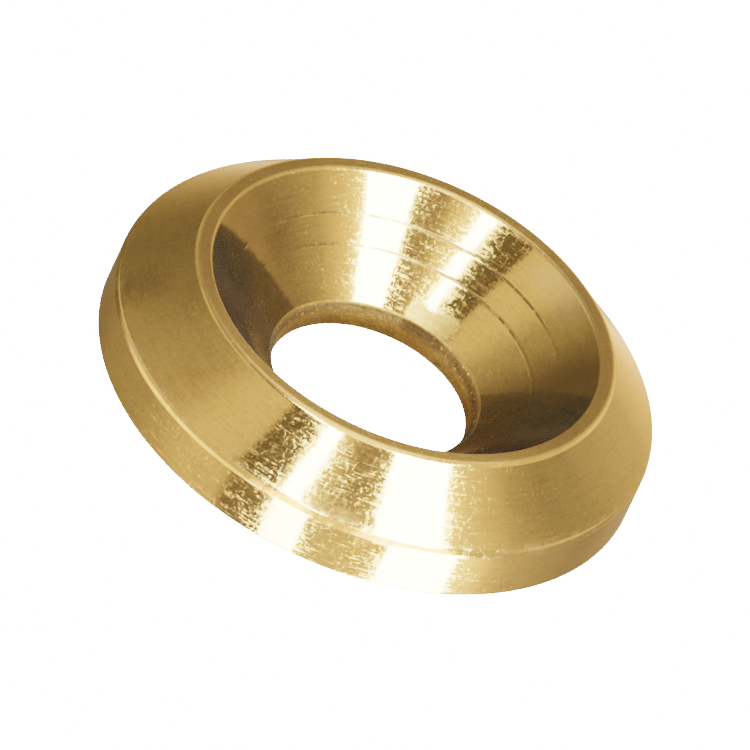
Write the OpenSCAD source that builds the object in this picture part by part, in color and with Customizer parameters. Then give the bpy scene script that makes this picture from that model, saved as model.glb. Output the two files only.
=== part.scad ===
// Countersunk finishing washer: a solid ring turned from brass bar in one piece.
// It stands on its flat underside, on the XY plane, with its axis on Z.
// A straight band runs round its foot, a chamfered flank rises from the band to a
// narrow flat rim, and a countersink falls from the rim to the screw hole.

/* [Outside] */
// Diameter over the straight band
outer_d = 24; // [21:0.5:32]
// Height from the underside to the flat rim
height = 5.1; // [3.6:0.1:6.8]
// Height of the straight band below the flank
band_h = 2.4; // [0.8:0.1:3]
// Width of the flat rim, between the flank and the countersink
rim_w = 0.58; // [0.3:0.02:1]

/* [Screw seat] */
// Diameter of the hole for the screw's shank
bore_d = 8.8; // [8.4:0.1:10]
// Full angle of the countersink
seat_angle = 90; // [82:1:100]
// Height of the wall of the hole, below the countersink
land_h = 1.04; // [0.8:0.02:1.6]
// How far the hole opens out at the top of that wall, on each side
lead_w = 0.24; // [0.1:0.02:0.4]
// Height of the stretch over which it opens out
lead_h = 0.4; // [0.2:0.02:0.6]

/* [Broken edges] */
// Radius on the ridge between the band and the flank
ridge_radius = 0.42; // [0.1:0.02:0.8]
// Radius on the edge between the flank and the rim
rim_radius = 0.14; // [0.05:0.01:0.3]
// Radius on the edge between the rim and the countersink
mouth_radius = 0.26; // [0.05:0.01:0.4]
// Radius on the edge between the countersink and the hole
seat_radius = 0.08; // [0.02:0.01:0.2]
// Radius on the edge between the hole and the underside
bore_radius = 0.06; // [0.02:0.01:0.2]
// Radius on the edge between the underside and the band
foot_radius = 0.15; // [0.05:0.01:0.4]

/* [Hidden] */

// Facets round the full circle and along each rounded edge
round_facets = 144;
edge_steps = 5;
// The largest share of a neighbouring face that a rounded edge may take up
edge_share = 0.45;

outer_r = outer_d / 2;
bore_r = bore_d / 2;
seat_foot_r = bore_r + lead_w;
mouth_r = seat_foot_r + (height - land_h) * tan(seat_angle / 2);
rim_outer_r = mouth_r + rim_w;

// The turned section's corners as [radius, height, edge radius], anticlockwise
// from the hole's lower edge
CORNERS = [
    [bore_r, 0, bore_radius],
    [outer_r, 0, foot_radius],
    [outer_r, band_h, ridge_radius],
    [rim_outer_r, height, rim_radius],
    [mouth_r, height, mouth_radius],
    [seat_foot_r, land_h, seat_radius],
    [bore_r, land_h - lead_h, 0]
];

function point(corner) = [corner[0], corner[1]];
function unit(v) = v / norm(v);

// Points of one corner, rounded by an arc that touches both of its sides.
// u and v point from the corner along its sides, and reach is how far along them
// the arc starts. Its centre is on the line that halves the corner.
function rounded(before, corner, after) =
    let (
        p = point(corner),
        to_before = point(before) - p,
        to_after = point(after) - p,
        u = unit(to_before),
        v = unit(to_after),
        half = acos(u * v) / 2,
        longest = edge_share * min(norm(to_before), norm(to_after)),
        reach = min(corner[2] / tan(half), longest),
        radius = reach * tan(half),
        centre = p + unit(u + v) * radius / sin(half),
        start = p + u * reach - centre,
        end = p + v * reach - centre,
        sweep = 180 - 2 * half,
        side = start[0] * end[1] - start[1] * end[0] < 0 ? -1 : 1
    )
    radius == 0
        ? [p]
        : [for (i = [0:edge_steps])
            let (a = side * sweep * i / edge_steps)
            centre + [
                start[0] * cos(a) - start[1] * sin(a),
                start[0] * sin(a) + start[1] * cos(a)
            ]
        ];

// The whole section, with every corner rounded
function section() =
    let (n = len(CORNERS))
    [for (i = [0:n - 1])
        each rounded(CORNERS[(i + n - 1) % n], CORNERS[i], CORNERS[(i + 1) % n])
    ];

// The washer itself, its section turned once round the Z axis
module washer() {
    color([0.80, 0.62, 0.33])
        rotate_extrude($fn = round_facets)
            polygon(section());
}

washer();
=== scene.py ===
"""Countersunk finishing washer, turned from brass bar and bright finished.

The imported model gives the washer's place and its box. The operators below dress it:
one makes the turned ring and its brass, and one sets the studio round it.
Sizes on the sidebar are Blender lengths in metres. Inside the functions that draw the
section they are millimetres, because a turner thinks in them.
"""

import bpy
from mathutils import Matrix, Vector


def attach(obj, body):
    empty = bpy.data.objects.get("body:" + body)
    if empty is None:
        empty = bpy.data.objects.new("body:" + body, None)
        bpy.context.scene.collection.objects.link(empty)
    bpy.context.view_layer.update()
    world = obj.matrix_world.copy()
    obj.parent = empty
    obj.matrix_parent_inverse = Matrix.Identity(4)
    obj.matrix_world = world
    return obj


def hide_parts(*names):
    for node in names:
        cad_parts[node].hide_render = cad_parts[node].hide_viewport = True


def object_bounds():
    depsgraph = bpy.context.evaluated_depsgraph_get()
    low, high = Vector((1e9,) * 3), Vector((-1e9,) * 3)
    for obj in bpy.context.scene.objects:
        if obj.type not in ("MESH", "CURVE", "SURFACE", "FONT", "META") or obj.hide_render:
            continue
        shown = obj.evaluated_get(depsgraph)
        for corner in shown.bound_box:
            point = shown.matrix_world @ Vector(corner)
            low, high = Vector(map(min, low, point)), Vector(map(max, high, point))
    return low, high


bl_info = {
    "name": "Turned Brass Finishing Washer",
    "version": (1, 0, 0),
    "blender": (4, 5, 0),
    "location": "3D View > Sidebar > Washer",
    "description": "Builds a countersunk finishing washer in bright turned brass",
    "category": "Add Mesh",
}

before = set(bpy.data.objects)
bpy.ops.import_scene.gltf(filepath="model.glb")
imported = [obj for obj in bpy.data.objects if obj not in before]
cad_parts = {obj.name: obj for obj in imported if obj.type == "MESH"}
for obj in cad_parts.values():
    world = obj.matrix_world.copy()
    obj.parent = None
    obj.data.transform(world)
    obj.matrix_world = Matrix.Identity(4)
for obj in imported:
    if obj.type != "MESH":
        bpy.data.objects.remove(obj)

import math

import bpy
import numpy as np
from mathutils import Matrix, Vector

CAD_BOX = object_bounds()

# Names of the imported body and node
BODY = "root"
NODE = "washer"
# The new piece, and the attribute that keeps each point's distance along the section
PIECE = "turned_washer"
SECTION_ATTRIBUTE = "section_mm"

MM = 0.001
OUTER_DIAMETER = CAD_BOX[1].x - CAD_BOX[0].x
HEIGHT = CAD_BOX[1].z - CAD_BOX[0].z

# The ring's grid: columns round the axis, steps in each rounded corner, rows on each
# straight run, and how far the outer rows of a run stand from its ends, in millimetres
COLUMNS = 600
ARC_STEPS = 6
RUN_STEPS = 13
HOLDING_GAP = 0.03


class WasherSizes(bpy.types.PropertyGroup):
    """Sizes of the turned section."""

    outer_diameter: bpy.props.FloatProperty(
        name="Outer diameter",
        description="Diameter over the straight band",
        default=OUTER_DIAMETER,
        unit="LENGTH",
    )
    height: bpy.props.FloatProperty(
        name="Height",
        description="Height from the underside to the flat rim",
        default=HEIGHT,
        unit="LENGTH",
    )
    band_height: bpy.props.FloatProperty(
        name="Band height",
        description="Height of the straight band below the flank",
        default=2.4 * MM,
        unit="LENGTH",
    )
    rim_width: bpy.props.FloatProperty(
        name="Rim width",
        description="Width of the flat rim between the flank and the countersink",
        default=0.58 * MM,
        unit="LENGTH",
    )
    hole_diameter: bpy.props.FloatProperty(
        name="Hole diameter",
        description="Diameter of the hole for the screw's shank",
        default=8.8 * MM,
        unit="LENGTH",
    )
    wall_height: bpy.props.FloatProperty(
        name="Hole wall",
        description="Height of the hole's wall below the countersink",
        default=1.04 * MM,
        unit="LENGTH",
    )
    lead_width: bpy.props.FloatProperty(
        name="Lead width",
        description="How far the hole opens out towards the countersink on each side",
        default=0.24 * MM,
        unit="LENGTH",
    )
    lead_height: bpy.props.FloatProperty(
        name="Lead height",
        description="Height over which the hole opens out",
        default=0.4 * MM,
        unit="LENGTH",
    )
    waviness: bpy.props.FloatProperty(
        name="Waviness",
        description="Deepest low-frequency wave left in the surface by the lathe",
        default=0.006 * MM,
        unit="LENGTH",
    )
    tool_mark_depth: bpy.props.FloatProperty(
        name="Tool mark depth",
        description="Depth of the two ring marks in the countersink",
        default=0.0055 * MM,
        unit="LENGTH",
    )


class BrassFinish(bpy.types.PropertyGroup):
    """Colours and texture of the turned brass."""

    bright: bpy.props.FloatVectorProperty(
        name="Bright brass",
        description="Colour of the clean turned metal",
        subtype="COLOR",
        size=4,
        default=(0.93, 0.67, 0.31, 1.0),
        min=0.0,
        max=1.0,
    )
    worn: bpy.props.FloatVectorProperty(
        name="Dull brass",
        description="Colour of the metal where it has tarnished a little",
        subtype="COLOR",
        size=4,
        default=(0.50, 0.345, 0.155, 1.0),
        min=0.0,
        max=1.0,
    )
    # Painted shade: the dark colour laid where the hole opens out and along the tool marks
    deep_shade: bpy.props.FloatVectorProperty(
        name="Deep brass",
        description="Colour of the metal where the hole opens out and in the tool marks",
        subtype="COLOR",
        size=4,
        default=(0.12, 0.098, 0.058, 1.0),
        min=0.0,
        max=1.0,
    )
    # Painted shade: the dark colour laid at both ends of the seat's foot
    foot_shade_colour: bpy.props.FloatVectorProperty(
        name="Tarnish",
        description="Colour of the dull spots at both ends of the seat's foot",
        subtype="COLOR",
        size=4,
        default=(0.085, 0.085, 0.075, 1.0),
        min=0.0,
        max=1.0,
    )
    # Painted shade: the dark colour laid in the hole, most towards its front and back
    drilled: bpy.props.FloatVectorProperty(
        name="Drilled brass",
        description="Colour of the grime that dulls the drilled hole",
        subtype="COLOR",
        size=4,
        default=(0.21, 0.138, 0.043, 1.0),
        min=0.0,
        max=1.0,
    )
    # Colour laid on the paler patch near the mouth and on the rubbed ridge
    pale: bpy.props.FloatVectorProperty(
        name="Pale brass",
        description="Colour of the metal under a soft haze",
        subtype="COLOR",
        size=4,
        default=(0.98, 0.78, 0.48, 1.0),
        min=0.0,
        max=1.0,
    )
    grazing: bpy.props.FloatVectorProperty(
        name="Grazing tint",
        description="Colour that the metal keeps where it is seen at a low angle",
        subtype="COLOR",
        size=4,
        default=(1.0, 0.87, 0.74, 1.0),
        min=0.0,
        max=1.0,
    )
    dust: bpy.props.FloatProperty(
        name="Dust",
        description="Share of a thin pale film of dust over the metal",
        default=0.016,
        min=0.0,
        max=1.0,
        subtype="FACTOR",
    )
    roughness: bpy.props.FloatProperty(
        name="Roughness",
        description="Roughness of the bright turned faces",
        default=0.06,
        min=0.0,
        max=1.0,
        subtype="FACTOR",
    )
    hole_roughness: bpy.props.FloatProperty(
        name="Hole roughness",
        description="Roughness of the drilled hole's wall",
        default=0.55,
        min=0.0,
        max=1.0,
        subtype="FACTOR",
    )


class StudioSetup(bpy.types.PropertyGroup):
    """Camera and lights."""

    lens: bpy.props.FloatProperty(
        name="Lens",
        description="Focal length in millimetres",
        default=1500.0,
    )
    picture_scale: bpy.props.FloatProperty(
        name="Picture scale",
        description="Pixels for each millimetre of the washer in the picture",
        default=23.8,
    )
    elevation: bpy.props.FloatProperty(
        name="Camera elevation",
        description="Angle of the camera above the floor",
        default=math.radians(37.3),
        subtype="ANGLE",
    )
    roll: bpy.props.FloatProperty(
        name="Camera roll",
        description="Turn of the camera about its own line of sight",
        default=math.radians(25.2),
        subtype="ANGLE",
    )


# Turned section

# Radii of the section's edges in millimetres: the hole's lower edge, the foot of the band,
# the ridge, the rim's outer edge, the mouth, the seat's foot, and where the hole opens out
EDGE_RADII = (0.06, 0.15, 0.50, 0.45, 0.26, 0.08, 1.1)
RIDGE_EDGE = 2
MOUTH_EDGE = 4

# Length along a 45 degree face for each millimetre of radius
SLANT = math.sqrt(2.0)

# Ring marks that the cutter left in the seat: their radii, half width, and how far below
# the true cone the seat lies at each, in millimetres
TOOL_MARK_RADII = (7.33, 6.39)
TOOL_MARK_WIDTH = 0.06
FACET_DEPTHS = (0.014, 0.016)
# Radius where the seat leaves the true cone, and how far past the last mark it is back
FACET_START_RADIUS = 8.62
LAST_FACET_LENGTH = 2.40
# Extra rows beside each mark
MARK_ROWS = np.array([-0.15, -0.11, -0.07, -0.03, 0.0, 0.03, 0.07, 0.11, 0.15])
# Where round the axis each mark is deepest, in radians, and how fast it fades from there
MARK_MIDDLES = (2.2, 1.2)
MARK_FADING = 2.0
# The cutter's chatter in the marks: its share of the depth, and its waves round the axis
CHATTER_SHARE = 0.35
CHATTER_WAVES = (23, 9)

# How far the middle of the flank is hollowed, in millimetres
FLANK_HOLLOW = 0.02

# Waves of the lathe: their number, and how many there may be round the axis and across,
# each from the first number up to but without the second
WAVE_SEED = 7
WAVE_COUNT = 14
WAVES_AROUND = (3, 26)
WAVES_ACROSS = (-7, 8)


def rounded(before, corner, after, radius):
    """Arc that rounds a corner of the section and touches both of its sides.

    Its ends lie at radius / tan(half the corner's angle) from the corner, and its
    centre is on the line that halves the corner.
    """
    u = (before - corner) / np.linalg.norm(before - corner)
    v = (after - corner) / np.linalg.norm(after - corner)
    half = math.acos(float(u @ v)) / 2
    reach = radius / math.tan(half)
    centre = corner + (u + v) / np.linalg.norm(u + v) * radius / math.sin(half)
    start = corner + u * reach - centre
    end = corner + v * reach - centre
    side = 1.0 if start[0] * end[1] - start[1] * end[0] > 0 else -1.0
    turn = side * (math.pi - 2 * half) * np.linspace(0.0, 1.0, ARC_STEPS + 1)
    return centre + np.stack(
        [
            start[0] * np.cos(turn) - start[1] * np.sin(turn),
            start[0] * np.sin(turn) + start[1] * np.cos(turn),
        ],
        axis=1,
    )


def section_corners(sizes):
    """Corners of the section as radius and height in millimetres.

    They run anticlockwise from the hole's lower edge, in the order of EDGE_RADII.
    """
    outer = sizes.outer_diameter / MM / 2
    top = sizes.height / MM
    hole = sizes.hole_diameter / MM / 2
    wall = sizes.wall_height / MM
    seat = hole + sizes.lead_width / MM
    mouth = seat + top - wall
    return np.array(
        [
            [hole, 0.0],
            [outer, 0.0],
            [outer, sizes.band_height / MM],
            [mouth + sizes.rim_width / MM, top],
            [mouth, top],
            [seat, wall],
            [hole, wall - sizes.lead_height / MM],
        ]
    )


def section_rows(sizes):
    """Rows of the section: arcs at the corners, and even rows along the straight runs.

    A holding row lies HOLDING_GAP inside each end of a run, so the flat faces shade
    flat up to their edges, and close rows lie at each tool mark. Gives each row's
    distance along the section, radius, height and outward normal, then the distances
    of the tool marks, the two ends of the flank, and the length of the whole section.
    """
    corners = section_corners(sizes)
    arcs = [
        rounded(corners[i - 1], corners[i], corners[(i + 1) % len(corners)], EDGE_RADII[i])
        for i in range(len(corners))
    ]
    outline = np.concatenate(arcs + [arcs[0][:1]])
    steps = np.linalg.norm(np.diff(outline, axis=0), axis=1)
    along = np.concatenate([[0.0], np.cumsum(steps)])
    arc_ends = np.cumsum([len(arc) for arc in arcs])
    rows = [along[:-1]]
    for end in arc_ends:
        low, high = along[end - 1], along[end]
        rows.append(np.linspace(low + HOLDING_GAP, high - HOLDING_GAP, RUN_STEPS))
    seat_top = arc_ends[MOUTH_EDGE] - 1
    marks = along[seat_top] + (outline[seat_top, 0] - np.array(TOOL_MARK_RADII)) * SLANT
    rows += [mark + MARK_ROWS for mark in marks]
    rows = np.unique(np.round(np.concatenate(rows), 5))
    radius = np.interp(rows, along, outline[:, 0])
    height = np.interp(rows, along, outline[:, 1])
    ahead = np.stack([np.roll(radius, -1), np.roll(height, -1)])
    behind = np.stack([np.roll(radius, 1), np.roll(height, 1)])
    tangent = ahead - behind
    tangent /= np.linalg.norm(tangent, axis=0)
    flank_foot = arc_ends[RIDGE_EDGE] - 1
    flank = (along[flank_foot], along[flank_foot + 1])
    return rows, radius, height, (tangent[1], -tangent[0]), marks, flank, along[-1]


def waves(along, length, theta):
    """Low waves left by the lathe, between 0 and 1.

    A sum of sines whose waves are whole numbers round the axis and round the section,
    so they close on themselves; each has its own seeded phase and share.
    """
    chance = np.random.default_rng(WAVE_SEED)
    total = np.zeros((len(theta), len(along)))
    shares = 0.0
    for _ in range(WAVE_COUNT):
        around = int(chance.integers(*WAVES_AROUND))
        across = int(chance.integers(*WAVES_ACROSS))
        phase = chance.uniform(0.0, 2 * math.pi)
        share = 1.0 / math.sqrt(around)
        shares += share
        total += share * np.sin(
            around * theta[:, None] + across * 2 * math.pi * along[None, :] / length + phase
        )
    return 0.5 + 0.5 * total / shares


def ring_points(sizes):
    """The section swept round the axis: point = (r cos t, r sin t, h) for each row and angle.

    Each point is drawn in along its normal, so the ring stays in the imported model's
    box, by the sum of four depths: the lathe's waves, straight runs between the tool
    marks where the seat lies below its cone, the marks themselves, which are narrow
    bell curves that fade away round the axis with a power of a cosine, and a parabola
    across the flank. Gives the points by angle and row, and each row's distance along
    the section.
    """
    rows, radius, height, normals, marks, flank, length = section_rows(sizes)
    theta = np.arange(COLUMNS) * 2 * math.pi / COLUMNS
    depth = sizes.waviness / MM * waves(rows, length, theta)
    first_facet = marks[0] - (FACET_START_RADIUS - TOOL_MARK_RADII[0]) * SLANT
    facets = (first_facet, *marks, marks[-1] + LAST_FACET_LENGTH)
    depth = depth + np.interp(rows, facets, (0.0, *FACET_DEPTHS, 0.0))[None, :]
    grooves = np.exp(-(((rows[None, :] - marks[:, None]) / TOOL_MARK_WIDTH) ** 2))
    fading = (0.5 + 0.5 * np.cos(theta[:, None] - MARK_MIDDLES)) ** MARK_FADING
    fast, slow = CHATTER_WAVES
    chatter = np.sin(fast * theta) * np.sin(slow * theta + 1.0)
    chatter = 1.0 - CHATTER_SHARE + CHATTER_SHARE * chatter
    depth = depth + sizes.tool_mark_depth / MM * (fading * chatter[:, None]) @ grooves
    on_flank = np.clip((rows - flank[0]) / (flank[1] - flank[0]), 0.0, 1.0)
    depth = depth + FLANK_HOLLOW * (4 * on_flank * (1 - on_flank))[None, :]
    out_r, out_h = normals
    r = radius[None, :] - depth * out_r[None, :]
    h = height[None, :] - depth * out_h[None, :]
    points = np.stack(
        [r * np.cos(theta)[:, None], r * np.sin(theta)[:, None], h], axis=2
    )
    return points * MM, rows


def turned_ring(name, sizes):
    """The ring as a closed grid of quads, with the distance along its section on each point.

    Point number = column x rows + row. Each quad joins a column and a row to the next
    ones, and the last column and row join the first.
    """
    points, rows = ring_points(sizes)
    count = len(rows)
    column, row = np.meshgrid(np.arange(COLUMNS), np.arange(count), indexing="ij")
    next_column = (column + 1) % COLUMNS
    next_row = (row + 1) % count
    quads = np.stack(
        [
            column * count + row,
            next_column * count + row,
            next_column * count + next_row,
            column * count + next_row,
        ],
        axis=2,
    ).reshape(-1, 4)
    mesh = bpy.data.meshes.new(name)
    mesh.vertices.add(COLUMNS * count)
    mesh.vertices.foreach_set("co", points.reshape(-1).astype(np.float32))
    mesh.loops.add(quads.size)
    mesh.loops.foreach_set("vertex_index", quads.reshape(-1).astype(np.int32))
    mesh.polygons.add(len(quads))
    mesh.polygons.foreach_set("loop_start", np.arange(0, quads.size, 4, dtype=np.int32))
    mesh.update(calc_edges=True)
    mesh.polygons.foreach_set("use_smooth", np.ones(len(quads), dtype=bool))
    section = mesh.attributes.new(SECTION_ATTRIBUTE, "FLOAT", "POINT")
    section.data.foreach_set("value", np.tile(rows, COLUMNS).astype(np.float32))
    mesh.update()
    piece = bpy.data.objects.new(name, mesh)
    bpy.context.scene.collection.objects.link(piece)
    return piece


# Shader maths
class Term:
    """A shader socket that can stand in a Python sum. Each operation adds a Math node."""

    def __init__(self, tree, socket):
        self.tree = tree
        self.socket = socket

    def _maths(self, operation, first, second):
        node = self.tree.nodes.new("ShaderNodeMath")
        node.operation = operation
        for socket, value in zip(node.inputs, (first, second)):
            if isinstance(value, Term):
                self.tree.links.new(value.socket, socket)
            else:
                socket.default_value = value
        return Term(self.tree, node.outputs[0])

    def __add__(self, other):
        return self._maths("ADD", self, other)

    def __radd__(self, other):
        return self._maths("ADD", other, self)

    def __sub__(self, other):
        return self._maths("SUBTRACT", self, other)

    def __rsub__(self, other):
        return self._maths("SUBTRACT", other, self)

    def __mul__(self, other):
        return self._maths("MULTIPLY", self, other)

    def __rmul__(self, other):
        return self._maths("MULTIPLY", other, self)

    def __truediv__(self, other):
        return self._maths("DIVIDE", self, other)

    def __pow__(self, other):
        return self._maths("POWER", self, other)


class Graph:
    """The nodes of one material, world or lamp, which start empty."""

    def __init__(self, owner):
        owner.use_nodes = True
        self.tree = owner.node_tree
        self.tree.nodes.clear()

    def add(self, kind, settings=None, inputs=None, output=0):
        """Adds one node, sets its settings, then its sockets, and gives one output."""
        node = self.tree.nodes.new(kind)
        for name, value in (settings or {}).items():
            if name == "stops":
                self._set_stops(node.color_ramp, value)
            else:
                setattr(node, name, value)
        for key, value in (inputs or {}).items():
            if isinstance(value, Term):
                self.tree.links.new(value.socket, node.inputs[key])
            else:
                node.inputs[key].default_value = value
        return Term(self.tree, node.outputs[output]) if node.outputs else node

    def _set_stops(self, ramp, stops):
        while len(ramp.elements) < len(stops):
            ramp.elements.new(1.0)
        for element, (place, colour) in zip(ramp.elements, stops):
            element.position = place
            element.color = (*colour, 1.0)

    def smooth(self, value, low, high, start=0.0, end=1.0):
        """Smooth step from start to end while the value goes from low to high."""
        return self.add(
            "ShaderNodeMapRange",
            {"interpolation_type": "SMOOTHSTEP"},
            {"Value": value, "From Min": low, "From Max": high, "To Min": start, "To Max": end},
        )

    def blend(self, factor, first, second):
        """Colour mix of two colours by a factor."""
        return self.add(
            "ShaderNodeMix",
            {"data_type": "RGBA"},
            {0: factor, 6: first, 7: second},
            output=2,
        )


# Zones of the section, in millimetres: each mask grows from the first limit to the second
HOLE_RADII = (4.74, 4.62)
LEAD_RADII = (4.41, 4.52)
SEAT_RADII = (8.75, 8.65)
RIM_HEIGHTS = (5.03, 5.08)
RIM_EDGE_HEIGHTS = (4.96, 5.02)
RIDGE_RADII = (11.0, 11.4)
# Edges that some masks follow, in millimetres
SEAT_FOOT_RADIUS = 4.66
RIDGE_HEIGHT = 2.42

# Depths of the fine texture, in millimetres
PEEL_DEPTH = 0.003
GRAIN_DEPTH = 0.0005
LINE_DEPTH = 0.0002
HOLE_GRAIN_DEPTH = 0.05

# Direction from the axis to the worn patch at the foot of the seat
WORN_DIRECTION = (0.225, 0.974)
# Middle of the paler patch near the mouth, in millimetres
PALE_PATCH_PLACE = (5.5, 6.1)
# Painted shade on the flank and in the seat, in soft darker patches: place, reach and share, in
# millimetres
SHADOWS = (
    ((-6.6, -8.2), 2.4, 0.28),
    ((-10.6, -3.9), 1.8, 0.45),
    ((-6.0, 9.4), 2.0, 0.20),
    ((-6.2, 3.4), 1.6, 0.45),
    ((7.4, 2.2), 1.4, 0.25),
    ((8.2, -6.6), 2.0, 0.20),
)


def off(value, place):
    """How far a value lies from a place, on either side of it."""
    return ((value - place) * (value - place)) ** 0.5


class Place:
    """Where a point of the washer lies, in millimetres, and the grains read there.

    rightward and backward are the parts of its direction from the axis, and sideways
    is the first of them without its sign.
    """

    def __init__(self, graph):
        self.graph = graph
        self.point = graph.add(
            "ShaderNodeVectorMath",
            {"operation": "SCALE"},
            {0: graph.add("ShaderNodeTexCoord", output="Object"), "Scale": 1.0 / MM},
        )
        self.x, self.y, self.z = (
            graph.add("ShaderNodeSeparateXYZ", inputs={0: self.point}, output=axis)
            for axis in "XYZ"
        )
        self.radius = (self.x * self.x + self.y * self.y) ** 0.5
        self.rightward = self.x / self.radius
        self.backward = self.y / self.radius
        self.sideways = off(self.rightward, 0.0)
        self.direction = graph.add(
            "ShaderNodeCombineXYZ", inputs={0: self.rightward, 1: self.backward}
        )
        self.along = graph.add(
            "ShaderNodeAttribute", {"attribute_name": SECTION_ATTRIBUTE}, output="Fac"
        )

    def noise(self, scale, detail=2.0, rough=0.5):
        """Grain that is alike in all directions, with scale lumps in a millimetre."""
        return self.graph.add(
            "ShaderNodeTexNoise",
            {"noise_dimensions": "3D"},
            {"Vector": self.point, "Scale": scale, "Detail": detail, "Roughness": rough},
        )

    def lathe(self, turns, pitch, detail=2.0, rough=0.5):
        """Grain that follows the turning, because it reads direction and section alone.

        It has turns lumps in a radian round the axis and pitch lumps in a millimetre
        along the section.
        """
        return self.graph.add(
            "ShaderNodeTexNoise",
            {"noise_dimensions": "4D"},
            {
                "Vector": self.direction,
                "W": self.along * (pitch / turns),
                "Scale": turns,
                "Detail": detail,
                "Roughness": rough,
            },
        )

    def apart_squared(self, spot):
        """Square of the distance from a spot, as seen from above."""
        return off(self.x, spot[0]) ** 2 + off(self.y, spot[1]) ** 2


class Zones:
    """Masks of the washer's faces and edges."""

    def __init__(self, at):
        smooth = at.graph.smooth
        self.hole = smooth(at.radius, *HOLE_RADII)
        self.lead = self.hole * smooth(at.radius, *LEAD_RADII)
        self.seat = smooth(at.radius, *SEAT_RADII)
        self.rim = smooth(at.z, *RIM_HEIGHTS)
        seat_foot = smooth(off(at.radius, SEAT_FOOT_RADIUS), 0.10, 0.04)
        self.edge = seat_foot + smooth(at.z, *RIM_EDGE_HEIGHTS)
        ridge = smooth(off(at.z, RIDGE_HEIGHT), 0.34, 0.12)
        self.ridge = ridge * smooth(at.radius, *RIDGE_RADII)


class WearAndShade:
    """Masks of what use and time left on the brass, and of painted shade.

    bare: where the ridge is rubbed pale. sparkle: bright specks in the hole. side_shade:
    painted shade at both ends of the seat, right and left. calm: how much of the fine
    grain is left there and on the rim. worn: the patch at the seat's foot, towards the
    back. foot: painted shade at both ends of the seat's foot, towards the front.
    ring_shade: painted shade in broken lines along the tool marks, at the back.
    pale_patch: a paler patch near the mouth. shadow: painted shade in soft patches.
    """

    def __init__(self, at, zones):
        smooth = at.graph.smooth
        self.bare = smooth(at.noise(1.6, 3.0, 0.6), 0.47, 0.60)
        self.sparkle = smooth(at.noise(6.0), 0.60, 0.68)
        # Painted shade: the seat darkens towards its right and left ends
        self.side_shade = zones.seat * smooth(at.sideways, 0.80, 1.0)
        self.calm = 1.0 - self.side_shade * 0.8 - zones.rim * 0.6

        towards = at.rightward * WORN_DIRECTION[0] + at.backward * WORN_DIRECTION[1]
        towards = towards + at.noise(1.8) * 0.02
        ragged = at.radius + at.noise(1.5, 3.0, 0.6) * 0.9
        worn = smooth(ragged, 5.95, 5.65) * smooth(towards, 0.975, 0.995)
        self.worn = zones.seat * worn

        # Painted shade: dark spots at both ends of the seat's foot, towards the front
        foot = smooth(at.radius, 7.2, 5.2) * smooth(at.backward, 0.25, -0.15)
        self.foot = zones.seat * foot * smooth(at.sideways, 0.7, 0.85)

        # Painted shade: dark broken lines along the two tool marks, at the back of the seat
        ring_shade = 0.0
        for radius, depth in zip(TOOL_MARK_RADII, FACET_DEPTHS):
            beside = off(at.radius, radius + depth)
            ring_shade = smooth(beside, TOOL_MARK_WIDTH, TOOL_MARK_WIDTH / 3) + ring_shade
        broken = smooth(at.noise(1.4, 3.0, 0.6), 0.40, 0.50) * 0.8 + 0.2
        self.ring_shade = ring_shade * zones.seat * broken * smooth(at.backward, 0.4, 0.8)

        # A paler patch near the mouth, at the back right
        pale_patch = smooth(at.radius, 7.4, 8.2) * smooth(at.apart_squared(PALE_PATCH_PLACE), 5.0, 0.3)
        self.pale_patch = zones.seat * pale_patch

        # Painted shade in soft darker patches at the SHADOWS places
        self.shadow = 0.0
        for spot, reach, share in SHADOWS:
            apart = at.apart_squared(spot) ** 0.5 + at.noise(0.8) * reach
            self.shadow = smooth(apart, reach * 1.5, reach * 0.5) * share + self.shadow


def brass_height(at, zones):
    """Height of the fine texture in millimetres: soft peel, grain and lathe lines.

    The drilled wall of the hole is much coarser than the turned faces.
    """
    peel = at.noise(1.3) * PEEL_DEPTH
    grain = at.noise(5.5, 3.0, 0.6) * GRAIN_DEPTH
    lines = at.lathe(1.6, 10.0, 2.0, 0.6) * LINE_DEPTH
    return peel + grain + lines + zones.hole * at.noise(4.0, 4.0, 0.7) * HOLE_GRAIN_DEPTH


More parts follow.
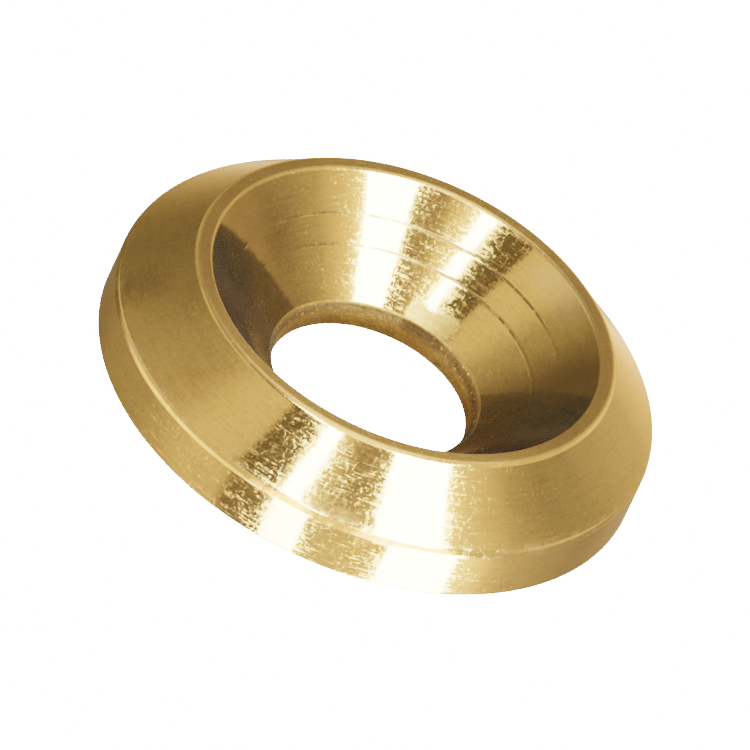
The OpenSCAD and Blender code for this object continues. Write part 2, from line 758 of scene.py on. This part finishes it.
def brass_colour(at, zones, wear_and_shade, finish):
    """Colour of the brass: it dulls in the hole, on the rim, in random clouds and where worn.

    Painted shade darkens the ends of the seat and of the rim and soft patches, and a
    painted highlight lightens the front of the rim. Painted shade in the hole, the paler
    patch near the mouth and the rubbed ridge, painted shade at the lead and in the ring
    lines, and painted shade at the ends of the seat's foot are laid over that in turn.
    """
    smooth = at.graph.smooth
    blend = at.graph.blend
    clouds = smooth(at.noise(0.35, 3.0, 0.55), 0.52, 0.78)
    specks = smooth(at.noise(3.0, 4.0, 0.7), 0.5, 0.68)
    drift = (at.noise(0.8) - 0.5) * 0.45
    mottle = (at.noise(2.4, 4.0, 0.65) - 0.38) * 0.25
    fine = at.noise(5.0, 3.0, 0.6) + at.lathe(6.0, 9.0, 3.0, 0.6) - 1.0
    # Painted shade at the rim's right and left ends, and a painted highlight at its front
    rim_end_shade = smooth(at.sideways, 0.5, 0.9) * 0.3
    rim_front_highlight = smooth(at.backward, -0.3, -0.8) * 0.5
    dullness_and_shade = (
        zones.hole * (specks * 0.4 + 0.5 - wear_and_shade.sparkle * 0.9)
        + zones.rim * (0.5 + rim_end_shade - rim_front_highlight)
        + clouds * 0.15
        + drift
        + mottle
        + fine * wear_and_shade.calm
        + wear_and_shade.shadow
        + wear_and_shade.side_shade * 0.88
        + wear_and_shade.worn * 0.8
    )
    # Painted shade in the hole, darker towards its front and back than at its sides, lightest
    # at the right
    hole_shade = zones.hole * smooth(off(at.rightward, -0.25), 0.95, 0.35, start=0.1, end=0.88)
    pale = wear_and_shade.pale_patch * 0.6 + zones.ridge * wear_and_shade.bare * 0.5
    # Painted shade at the lead, where the hole opens out, and along the tool marks at the back
    deep_shade = zones.lead * (0.75 - wear_and_shade.sparkle * 0.6) + wear_and_shade.ring_shade * 0.85
    colour = blend(dullness_and_shade, tuple(finish.bright), tuple(finish.worn))
    colour = blend(hole_shade, colour, tuple(finish.drilled))
    colour = blend(pale, colour, tuple(finish.pale))
    colour = blend(deep_shade, colour, tuple(finish.deep_shade))
    # Painted shade at both ends of the seat's foot
    return blend(wear_and_shade.foot * 0.8, colour, tuple(finish.foot_shade_colour))


def brass_roughness(at, zones, wear_and_shade, finish):
    """Roughness of the brass, with the small marks that scatter the light.

    Flecks, upright scratches and streaks are strongest at the front and the back, and
    stronger below the height of the ridge than above it. Pits lie all over, in patches.
    """
    smooth = at.graph.smooth
    flecks = smooth(at.noise(10.0, 2.0, 0.7), 0.50, 0.70)
    upright = smooth(at.lathe(60.0, 3.2, 1.5), 0.50, 0.70)
    streaks = smooth(at.lathe(11.0, 9.0, 2.0, 0.65), 0.48, 0.68)
    pits = smooth(at.noise(7.0, 1.0), 0.60, 0.68)
    patches = smooth(at.noise(0.9), 0.35, 0.60)
    middle = smooth(at.sideways, 0.85, 0.45) * 0.85 + 0.15
    low = smooth(at.z, 2.5, 2.3, start=1.0, end=1.8)
    marks = flecks * 0.07 + upright * 0.06 + streaks * (patches * 0.6 + 0.4) * 0.11
    return (
        finish.roughness
        + zones.hole * (finish.hole_roughness - finish.roughness)
        + zones.rim * 0.1
        + zones.edge * 0.10
        + zones.ridge * (0.04 + wear_and_shade.bare * 0.07)
        + (at.noise(1.2) - 0.5) * 0.03
        + middle * low * marks
        + pits * (patches * 0.08 + 0.04) * wear_and_shade.calm
        + wear_and_shade.side_shade * 0.02
        + wear_and_shade.worn * 0.3
        + wear_and_shade.foot * 0.30
        + wear_and_shade.ring_shade * 0.20
    )


def brass_material(finish):
    """Bright turned brass with lathe lines, pits, flecks, a dull hole, and painted shade."""
    material = bpy.data.materials.new("Turned brass")
    graph = Graph(material)
    at = Place(graph)
    zones = Zones(at)
    wear_and_shade = WearAndShade(at, zones)
    bump = graph.add(
        "ShaderNodeBump",
        inputs={"Strength": 1.0, "Distance": MM, "Height": brass_height(at, zones)},
    )
    shader = graph.add(
        "ShaderNodeBsdfPrincipled",
        {"distribution": "MULTI_GGX"},
        {
            "Base Color": brass_colour(at, zones, wear_and_shade, finish),
            "Metallic": 1.0,
            "Roughness": brass_roughness(at, zones, wear_and_shade, finish),
            "Normal": bump,
            "Specular Tint": tuple(finish.grazing),
            "Sheen Weight": finish.dust,
            "Sheen Roughness": 0.9,
        },
    )
    graph.add("ShaderNodeOutputMaterial", inputs={"Surface": shader})
    return material


class MESH_OT_turned_washer(bpy.types.Operator):
    """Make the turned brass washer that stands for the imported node"""

    bl_idname = "mesh.turned_washer"
    bl_label = "Turned Washer"

    def execute(self, context):
        piece = turned_ring(PIECE, context.scene.washer_sizes)
        piece.data.materials.append(brass_material(context.scene.brass_finish))
        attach(piece, BODY)
        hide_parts(NODE)
        return {"FINISHED"}


# Studio

# The floor's side and its depth below the washer, in millimetres, and its glow
FLOOR_SIDE = 6000.0
FLOOR_DROP = 0.02
FLOOR_GLOW = 20.0
# Colour of the surroundings, and of the lamps
WARM = (1.0, 0.77, 0.46)
LAMP_COLOUR = (1.0, 0.91, 0.74)
# Strength at which a tone is exactly WARM, and how its parts fall off above that
WARM_AT = 0.4
WARM_TURN = (0.0, 0.10, 0.10)


def tone(strength):
    """A warm grey of the given strength, a little redder the stronger it is."""
    return tuple(
        strength * part * (strength / WARM_AT) ** -turn for part, turn in zip(WARM, WARM_TURN)
    )


def rgba(colour):
    """The colour with full cover."""
    return (*colour, 1.0)


# The two white strips, as brightness by compass angle in degrees, with the gold between
STRIP_TONES = (
    (-106, 8.00),
    (-94, 8.00),
    (-91, 1.50),
    (-71, 1.50),
    (-68, 8.00),
    (-38, 8.00),
)

# Brightness of the surroundings round the horizon, which the ends of the flank mirror
LEVEL_TONES = (
    (-180, 1.60),
    (-160, 2.60),
    (-130, 2.20),
    (-108, 1.30),
    *STRIP_TONES,
    (-34, 0.80),
    (0, 0.50),
    (12, 0.33),
    (28, 0.36),
    (45, 0.55),
    (57, 0.66),
    (66, 0.95),
    (74, 1.32),
    (81, 1.80),
    (87, 1.80),
    (93, 1.40),
    (98, 1.05),
    (105, 0.60),
    (114, 0.32),
    (123, 0.205),
    (133, 0.172),
    (143, 0.178),
    (158, 0.22),
    (168, 0.60),
    (180, 1.60),
)

# The same for what the rounded ridge between the flank and the band mirrors
RIDGE_TONES = (
    (-180, 0.80),
    (-108, 0.80),
    *STRIP_TONES,
    (-34, 0.80),
    (180, 0.80),
)

# The same for the surroundings below the floor's level, which the straight band mirrors
DOWN_TONES = (
    (-180, 0.38),
    (-160, 0.62),
    (-148, 0.80),
    (-130, 0.80),
    (-125, 0.17),
    (-112, 0.17),
    (-90, 0.80),
    (-62, 0.90),
    (-20, 2.10),
    (-8, 0.90),
    (0, 0.60),
    (20, 0.40),
    (32, 0.31),
    (45, 0.31),
    (60, 0.40),
    (84, 0.46),
    (104, 0.21),
    (120, 0.24),
    (140, 0.30),
    (155, 0.34),
    (180, 0.38),
)

# Brightness overhead, by the angle about the long axis of the overhead lights
HIGH_TONES = (
    (-180, 0.30),
    (-75, 0.17),
    (-60, 0.22),
    (-54, 0.40),
    (-40, 0.80),
    (-30, 0.95),
    (-26, 2.00),
    (-22, 1.25),
    (-18, 0.66),
    (-14, 0.36),
    (-6, 0.30),
    (0, 0.60),
    (20, 3.20),
    (27, 2.60),
    (31, 1.90),
    (36, 1.25),
    (52, 0.50),
    (62, 0.32),
    (70, 0.34),
    (78, 0.48),
    (120, 0.45),
    (180, 0.30),
)

# Level directions across the overhead lights and along them
ACROSS = (0.885, 0.465)
ALONG = (-0.46, 0.885, 0.0)
UPRIGHT = (0.0, 0.0, 1.0)

# Far edge of what the flank and the seat mirror: y = first + second z + third z squared
BACK_EDGE = (0.793, -0.767, -1.261)
# Past that edge: what the rim mirrors, the zenith, and two pairs of tones, each with its
# left and its right one, for what lies low at the back and for the sides
RIM_TONE = 0.345
ZENITH_COLOUR = (2.1, 1.62, 1.2)
BACK_TONES = (0.50, 1.25)
SIDE_TONES = (0.42, 0.90)

# Colours that second reflections see level and overhead, and that third ones see
SECOND_LEVEL = (0.060, 0.098, 0.21)
SECOND_OVERHEAD = (0.145, 0.175, 0.215)
THIRD_COLOUR = (0.095, 0.19, 0.62)
# Share of the lamps that second reflections see
SECOND_SHARE = 0.02
# Ray depths over which the world and the lamps go from the first reflection to the
# second and on to the third. A card counts one less, and one that fades is clear there.
TO_SECOND = (2.2, 2.8)
TO_THIRD = (3.2, 3.8)
CARD_TO_SECOND = (1.8, 1.2)

# Lamps: name, centre, long axis, point faced, length, width and glow, with the places and
# sizes in millimetres
LAMPS = (
    ("Wide overhead", (54.0, -61.3, 80.0), ALONG, (0, 0, 3), 66, 40, 30.0),
    ("Narrow overhead", (-14.3, -63.5, 81.0), ALONG, (0, 0, 3), 60, 6.9, 30.0),
    ("Wide low", (53.0, -53.0, -45.0), UPRIGHT, (5, -8, 0), 60, 35, 24.0),
    ("Narrow low", (-11.0, -80.0, -50.0), UPRIGHT, (-2, -11, 0), 60, 19, 20.0),
)

# The camera's sensor in millimetres, the picture's width in pixels, and how far right of
# the origin and above it in the picture the camera aims, in millimetres
SENSOR_WIDTH = 36.0
PICTURE_WIDTH = 750.0
AIM = (0.376, 0.927)


def beyond_the_edge(graph, x, y, z):
    """Colour of the surroundings behind the washer, past BACK_EDGE.

    The middle goes from the rim's tone to the bright zenith. Other tones lie at the
    sides, and low at the back to the left and the right of the middle.
    """
    off_centre = off(x, 0.0)
    low_back = graph.smooth(y, 0.50, 0.62)
    at_sides = graph.smooth(off_centre, 0.12, 0.34) * (1.0 - low_back)
    at_back = graph.smooth(off_centre, 0.15, 0.40) * low_back
    rightward = graph.smooth(x, -0.2, 0.2)
    backs = graph.blend(rightward, *(rgba(tone(strength)) for strength in BACK_TONES))
    sides = graph.blend(rightward, *(rgba(tone(strength)) for strength in SIDE_TONES))
    zenith = graph.smooth(y, 0.62, 0.30)
    rear = graph.blend(zenith, rgba(tone(RIM_TONE)), rgba(ZENITH_COLOUR))
    rear = graph.blend(at_back, rear, backs)
    return graph.blend(at_sides, rear, sides)


def studio_world(scene):
    """Soft surroundings for the metal to mirror.

    One run of tones goes round below the floor's level, one round the horizon and one
    across overhead. Behind the edge of what the flank and the seat mirror in one bounce
    lie the tones for the rim, the zenith and the far sides, and well before that edge,
    where only the ridge looks, the ridge's own run. Second and third reflections see
    plain cool colours instead, and the camera sees the white of the floor.
    """
    world = bpy.data.worlds.new("Studio")
    scene.world = world
    graph = Graph(world)
    direction = graph.add("ShaderNodeTexCoord", output="Generated")
    x, y, z = (
        graph.add("ShaderNodeSeparateXYZ", inputs={0: direction}, output=axis) for axis in "XYZ"
    )
    compass = graph.add("ShaderNodeMath", {"operation": "ARCTAN2"}, {0: y, 1: x})
    over = graph.add(
        "ShaderNodeMath",
        {"operation": "ARCTAN2"},
        {0: x * ACROSS[0] + y * ACROSS[1], 1: z},
    )

    def ramp(angle, tones):
        stops = [((degrees + 180) / 360, tone(strength)) for degrees, strength in tones]
        return graph.add(
            "ShaderNodeValToRGB",
            {"stops": stops},
            {"Fac": angle / (2 * math.pi) + 0.5},
        )

    level = graph.smooth(z, -0.59, -0.48)
    around = graph.blend(level, ramp(compass, DOWN_TONES), ramp(compass, LEVEL_TONES))
    front = graph.blend(graph.smooth(z, 0.08, 0.38), around, ramp(over, HIGH_TONES))
    beyond = y - (BACK_EDGE[0] + BACK_EDGE[1] * z + BACK_EDGE[2] * z * z)
    behind = graph.smooth(beyond, 0.05, 0.20) * graph.smooth(z, 0.0, 0.15)
    colour = graph.blend(behind, front, beyond_the_edge(graph, x, y, z))
    before = graph.smooth(beyond, -0.06, -0.26) * graph.smooth(z, -0.05, 0.05)
    before = before * graph.smooth(z, 0.75, 0.60)
    colour = graph.blend(before, colour, ramp(compass, RIDGE_TONES))
    overhead = graph.smooth(z, 0.45, 0.90) * (x * 0.2 + 0.85)
    second = graph.blend(overhead, rgba(SECOND_LEVEL), rgba(SECOND_OVERHEAD))
    depth = graph.add("ShaderNodeLightPath", output="Ray Depth")
    second = graph.blend(graph.smooth(depth, *TO_THIRD), second, rgba(THIRD_COLOUR))
    colour = graph.blend(graph.smooth(depth, *TO_SECOND), colour, second)
    seen = graph.add("ShaderNodeLightPath", output="Is Camera Ray")
    shown = graph.blend(seen, colour, rgba((FLOOR_GLOW, FLOOR_GLOW, FLOOR_GLOW)))
    light = graph.add("ShaderNodeBackground", inputs={"Color": shown, "Strength": 1.0})
    graph.add("ShaderNodeOutputWorld", inputs={"Surface": light})


def area_light(name, centre, along, facing, length, width, glow):
    """A flat rectangular light. Its glow is the brightness of its face.

    centre, length and width are millimetres, along is its long axis, and it faces the
    point given.
    """
    light = bpy.data.lights.new(name, "AREA")
    light.shape = "RECTANGLE"
    light.size = length * MM
    light.size_y = width * MM
    light.energy = glow * math.pi * length * width * MM * MM
    light.color = LAMP_COLOUR
    graph = Graph(light)
    depth = graph.add("ShaderNodeLightPath", output="Ray Depth")
    share = graph.smooth(depth, *TO_SECOND, start=1.0, end=SECOND_SHARE)
    face = graph.add("ShaderNodeEmission", inputs={"Strength": share})
    graph.add("ShaderNodeOutputLight", inputs={"Surface": face})
    lamp = bpy.data.objects.new(name, light)
    bpy.context.scene.collection.objects.link(lamp)
    at = Vector(centre) * MM
    back = (at - Vector(facing) * MM).normalized()
    long_axis = Vector(along)
    long_axis = (long_axis - back * long_axis.dot(back)).normalized()
    short_axis = back.cross(long_axis)
    turn = Matrix((long_axis, short_axis, back)).transposed().to_4x4()
    lamp.matrix_world = Matrix.Translation(at) @ turn
    lamp.visible_camera = False


def level_card(name, centre, along, length, width, glow, colour=(1.0, 1.0, 1.0), fade=0.0):
    """A level rectangle that shines: centre +- length / 2 along its axis +- width / 2 across.

    The sizes are millimetres. It serves as the pale floor and as the cards that only the
    metal sees. A card with a fade turns clear over that width along the side on its
    left, and is clear to second reflections.
    """
    axis = np.array([along[0], along[1], 0.0]) / math.hypot(along[0], along[1])
    side = np.array([-axis[1], axis[0], 0.0])
    signs = np.array([[-1, -1], [1, -1], [1, 1], [-1, 1]]) / 2
    spans = signs[:, :1] * length * axis + signs[:, 1:] * width * side
    corners = (np.array(centre) + spans) * MM
    mesh = bpy.data.meshes.new(name)
    mesh.from_pydata(corners.tolist(), [], [[0, 1, 2, 3]])
    material = bpy.data.materials.new(name)
    graph = Graph(material)
    white = graph.add(
        "ShaderNodeEmission", inputs={"Color": rgba(colour), "Strength": glow}
    )
    if fade:
        across = graph.add(
            "ShaderNodeVectorMath",
            {"operation": "DOT_PRODUCT"},
            {0: graph.add("ShaderNodeTexCoord", output="Object"), 1: tuple(side / MM)},
            output="Value",
        )
        left = float(np.dot(side, centre)) + width / 2
        depth = graph.add("ShaderNodeLightPath", output="Ray Depth")
        cover = graph.smooth(across, left, left - fade) * graph.smooth(depth, *CARD_TO_SECOND)
        clear = graph.add("ShaderNodeBsdfTransparent")
        white = graph.add("ShaderNodeMixShader", inputs={0: cover, 1: clear, 2: white})
    graph.add("ShaderNodeOutputMaterial", inputs={"Surface": white})
    mesh.materials.append(material)
    card = bpy.data.objects.new(name, mesh)
    bpy.context.scene.collection.objects.link(card)
    return card


def studio_floor():
    """The pale floor, which the camera sees and the washer doesn't."""
    floor = level_card("floor", (0, 0, -FLOOR_DROP), (1, 0), FLOOR_SIDE, FLOOR_SIDE, FLOOR_GLOW)
    floor.visible_glossy = False
    floor.visible_diffuse = False
    floor.visible_transmission = False
    floor.visible_shadow = False
    return floor


def mirror_card(name, centre, along, length, width, glow, colour, fade=0.0):
    """A card that only the polished metal sees."""
    card = level_card(name, centre, along, length, width, glow, colour, fade)
    card.visible_camera = False
    card.visible_diffuse = False
    return card


def studio_camera(scene, setup):
    """Long lens above the front, rolled to the left, aimed a little beside the origin."""
    elevation, roll = setup.elevation, setup.roll
    forward = Vector((0.0, math.cos(elevation), -math.sin(elevation)))
    level = Vector((1.0, 0.0, 0.0))
    upright = Vector((0.0, math.sin(elevation), math.cos(elevation)))
    right = level * math.cos(roll) + upright * math.sin(roll)
    up = upright * math.cos(roll) - level * math.sin(roll)
    aim = (right * AIM[0] + up * AIM[1]) * MM
    distance = setup.lens / SENSOR_WIDTH * PICTURE_WIDTH / setup.picture_scale * MM
    data = bpy.data.cameras.new("Camera")
    data.lens = setup.lens
    data.sensor_width = SENSOR_WIDTH
    data.clip_start = 0.01
    data.clip_end = 10.0
    camera = bpy.data.objects.new("Camera", data)
    scene.collection.objects.link(camera)
    turn = Matrix((right, up, -forward)).transposed().to_4x4()
    camera.matrix_world = Matrix.Translation(aim - forward * distance) @ turn
    scene.camera = camera


class SCENE_OT_washer_studio(bpy.types.Operator):
    """Set the floor, the lights and the camera"""

    bl_idname = "scene.washer_studio"
    bl_label = "Washer Studio"

    def execute(self, context):
        scene = context.scene
        scene.view_settings.view_transform = "Filmic"
        scene.view_settings.look = "Medium High Contrast"
        studio_world(scene)
        floor = studio_floor()
        # Cards for the hole's wall, for the dark beside the narrow strip, and for the gold
        # of the left side
        under_hole = mirror_card(
            "card_under_hole", (0, 0, -FLOOR_DROP), (1, 0), 15, 15, 0.15, (1.0, 0.76, 0.38)
        )
        dark = mirror_card(
            "dark_card", (-34.4, -59.5, 80.0), ALONG, 66, 18.5, 0.125, (0.94, 0.80, 0.43)
        )
        gold = mirror_card(
            "gold_card", (-84.2, -21.7, 80.0), ALONG, 150, 34.6, 1.0, tone(0.92), fade=20
        )
        for lamp in LAMPS:
            area_light(*lamp)
        studio_camera(scene, scene.studio_setup)
        return {"FINISHED"}


class VIEW3D_PT_washer(bpy.types.Panel):
    """Sizes, finish and studio of the washer"""

    bl_idname = "VIEW3D_PT_washer"
    bl_label = "Finishing Washer"
    bl_space_type = "VIEW_3D"
    bl_region_type = "UI"
    bl_category = "Washer"

    def draw(self, context):
        layout = self.layout
        scene = context.scene
        for group in (scene.washer_sizes, scene.brass_finish, scene.studio_setup):
            box = layout.box()
            for name in group.__annotations__:
                box.prop(group, name)
        layout.operator(MESH_OT_turned_washer.bl_idname)
        layout.operator(SCENE_OT_washer_studio.bl_idname)


CLASSES = (
    WasherSizes,
    BrassFinish,
    StudioSetup,
    MESH_OT_turned_washer,
    SCENE_OT_washer_studio,
    VIEW3D_PT_washer,
)


def register():
    for cls in CLASSES:
        bpy.utils.register_class(cls)
    bpy.types.Scene.washer_sizes = bpy.props.PointerProperty(type=WasherSizes)
    bpy.types.Scene.brass_finish = bpy.props.PointerProperty(type=BrassFinish)
    bpy.types.Scene.studio_setup = bpy.props.PointerProperty(type=StudioSetup)


def unregister():
    del bpy.types.Scene.studio_setup
    del bpy.types.Scene.brass_finish
    del bpy.types.Scene.washer_sizes
    for cls in reversed(CLASSES):
        bpy.utils.unregister_class(cls)


def main():
    """Registers the classes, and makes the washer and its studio."""
    register()
    bpy.ops.mesh.turned_washer()
    bpy.ops.scene.washer_studio()


if __name__ == "__main__":
    main()
